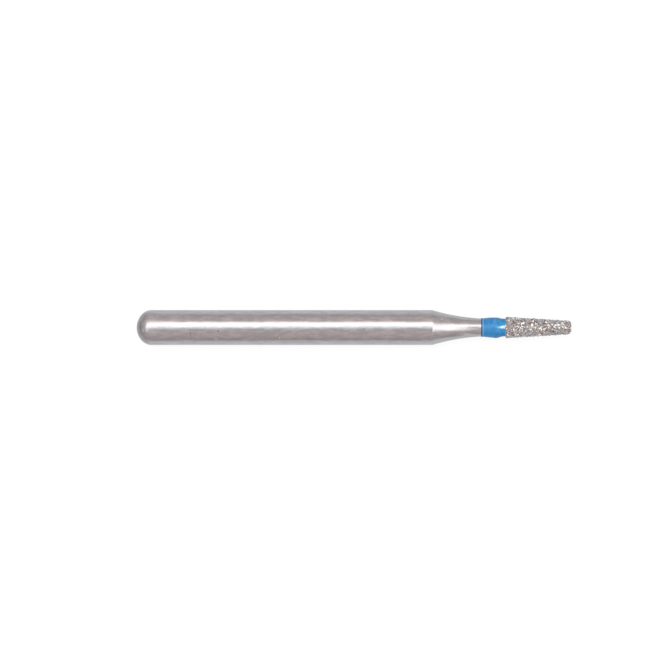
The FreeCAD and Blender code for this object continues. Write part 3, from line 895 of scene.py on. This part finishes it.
# Its light fades towards its edges, over wider stretches on the right. The change from the one
# to the other runs between these two places.
SOFT_FROM, SOFT_TO = 0.25, 0.75
FAR_EDGE, SOFT_FAR_EDGE = 0.92, 1.05
FADE_NEAR, SOFT_FADE_NEAR = 0.52, 0.92
FADE_FAR, SOFT_FADE_FAR = 0.44, 1.25
FADE_SIDE = 0.10
# The dark shape of the camera before it: its upper edge and how soft that is, how the edge
# slants down on the left and steps up on the right, and its two sides.
SHADE_TOP, SHADE_TOP_FADE = 0.075, 0.24
SHADE_SLANT, SHADE_SLANT_FROM, SHADE_SLANT_TO = 0.13, -0.055, -0.012
SHADE_STEP, SHADE_STEP_FROM, SHADE_STEP_TO = 0.12, 0.07, 0.17
SHADE_LEFT, SHADE_LEFT_FADE = -0.74, 0.24
SHADE_RIGHT, SHADE_RIGHT_FADE = 0.32, 0.04
# The light turns blue towards the shape's upper edge, and where the panel has faded.
PANEL_WHITE, PANEL_FRINGE = colour(1.0, 1.0, 0.99), colour(0.70, 1.09, 1.20)
FRINGE_FROM, FRINGE_TO = 0.285, -0.115
FADED_FROM, FADED_TO, FAR_FRINGE = 0.9, 0.1, 0.35


def make_panel():
    """A wide soft panel overhead, with the dark shape of the camera that hangs before it."""
    width, depth = PANEL_RIGHT - PANEL_LEFT, PANEL_FAR - PANEL_NEAR
    data = bpy.data.lights.new("panel", "AREA")
    data.shape = "RECTANGLE"
    data.size, data.size_y = width * PANEL_HEIGHT, depth * PANEL_HEIGHT
    data.energy = math.pi * data.size * data.size_y * PANEL_RADIANCE
    data.use_nodes = True
    wire = Wiring(data.node_tree)
    spot = wire.split(wire.add("ShaderNodeNewGeometry", "Parametric"))
    x = wire.range(spot["X"], 0.0, 1.0, PANEL_LEFT, PANEL_RIGHT, "LINEAR")
    y = wire.range(spot["Y"], 0.0, 1.0, PANEL_NEAR, PANEL_FAR, "LINEAR")

    near_width = wire.range(x, SOFT_FROM, SOFT_TO, FADE_NEAR, SOFT_FADE_NEAR)
    far_width = wire.range(x, SOFT_FROM, SOFT_TO, FADE_FAR, SOFT_FADE_FAR)
    far_edge = wire.range(x, SOFT_FROM, SOFT_TO, FAR_EDGE, SOFT_FAR_EDGE)
    near_fade = wire.range(y, PANEL_NEAR, wire.plus(near_width, PANEL_NEAR))
    far_fade = wire.range(y, far_edge, wire.minus(far_edge, far_width))
    fade = wire.times(near_fade, far_fade)
    fade = wire.times(fade, wire.range(x, PANEL_LEFT, PANEL_LEFT + FADE_SIDE))
    fade = wire.times(fade, wire.range(x, PANEL_RIGHT, PANEL_RIGHT - FADE_SIDE))

    inside = wire.times(
        wire.range(x, SHADE_LEFT - SHADE_LEFT_FADE, SHADE_LEFT + SHADE_LEFT_FADE),
        wire.range(x, SHADE_RIGHT + SHADE_RIGHT_FADE, SHADE_RIGHT - SHADE_RIGHT_FADE),
    )
    slant = (SHADE_TOP - SHADE_SLANT, SHADE_TOP)
    top = wire.range(x, SHADE_SLANT_FROM, SHADE_SLANT_TO, *slant)
    top = wire.plus(top, wire.range(x, SHADE_STEP_FROM, SHADE_STEP_TO, 0.0, SHADE_STEP))
    above = wire.minus(y, top)
    shade = wire.times(inside, wire.range(above, SHADE_TOP_FADE, -SHADE_TOP_FADE))
    strength = wire.times(fade, wire.minus(1.0, shade))

    fringe = wire.times(inside, wire.range(above, FRINGE_FROM, FRINGE_TO))
    fringe = wire.larger(fringe, wire.range(near_fade, FADED_FROM, FADED_TO))
    fringe = wire.larger(fringe, wire.range(far_fade, FADED_FROM, FADED_TO, 0.0, FAR_FRINGE))
    tone = wire.mix(fringe, PANEL_WHITE, PANEL_FRINGE)
    wire.fill(data.node_tree.nodes["Emission"], Color=tone, Strength=strength)

    panel = bpy.data.objects.new("panel", data)
    middle_x, middle_y = (PANEL_LEFT + PANEL_RIGHT) / 2, (PANEL_NEAR + PANEL_FAR) / 2
    panel.location = (middle_x * PANEL_HEIGHT, middle_y * PANEL_HEIGHT, PANEL_HEIGHT)
    panel.visible_camera = False
    bpy.context.scene.collection.objects.link(panel)


# The room: its warm tint, its light at the table's level and overhead, and how much lighter its
# far side is.
ROOM_TINT = colour(1.06, 0.975, 0.985)
ROOM_LOW, ROOM_HIGH, ROOM_HIGH_FROM = 0.50, 0.625, 0.75
ROOM_FAR_SIDE = 0.045


def make_room():
    """The dim, slightly warm room round the table, darker towards the table's level."""
    world = bpy.data.worlds.new("room")
    bpy.context.scene.world = world
    world.use_nodes = True
    wire = Wiring(world.node_tree)
    way = wire.split(wire.add("ShaderNodeTexCoord", "Generated"))
    level = wire.range(way["Z"], 0.0, ROOM_HIGH_FROM, ROOM_LOW, ROOM_HIGH)
    level = wire.plus(level, wire.times(way["Y"], ROOM_FAR_SIDE))
    wire.fill(world.node_tree.nodes["Background"], Color=ROOM_TINT, Strength=level)


# The camera: its lens and sensor, the width of the picture at the bur's axis and the place that
# it looks at, all in millimetres, and the nearest and farthest that it sees, in metres.
LENS, SENSOR_WIDTH = 300.0, 36.0
FRAME_WIDTH, FRAME_X, FRAME_Y = 30.4, 1.853, -0.229
SEES_FROM, SEES_TO = 0.001, 10.0


def make_camera():
    """Straight down on the bur from a distance, with its axis level and its tip to the right."""
    data = bpy.data.cameras.new("camera")
    data.lens, data.sensor_width = LENS, SENSOR_WIDTH
    data.clip_start, data.clip_end = SEES_FROM, SEES_TO
    camera = bpy.data.objects.new("camera", data)
    camera.location = (FRAME_X * MM, FRAME_Y * MM, FRAME_WIDTH * MM * LENS / SENSOR_WIDTH)
    bpy.context.scene.collection.objects.link(camera)
    bpy.context.scene.camera = camera


def finish_piece(piece, material, node):
    """Gives a piece its material, hangs it from the root body and hides the node it stands for."""
    if not piece.data.materials:
        piece.data.materials.append(material)
    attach(piece, "root")
    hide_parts(node)


mottle = make_mottle_group()
lathe_rings = make_lathe_group()
steel = ground_steel(mottle, lathe_rings)
lacquer = blue_lacquer(mottle, lathe_rings)
nickel = plated_nickel(mottle)
diamond = diamond_grit()

blank = turn("steel_shank_neck_and_core", blank_outline(), BLANK_AROUND, sink_marks)
ring = turn_ring("lacquer_ring", ring_outline(), RING_AROUND, swell_ring)
bond = turn("plated_layer", bond_outline(), BOND_AROUND, swell_bond)
coat = make_coat(diamond)

finish_piece(blank, steel, "steel_blank")
finish_piece(ring, lacquer, "colour_band")
finish_piece(bond, nickel, "nickel_bond")
finish_piece(coat, diamond, "diamond_grains")

make_floor()
make_room()
make_panel()
make_camera()
bpy.context.scene.view_settings.view_transform = "Standard"
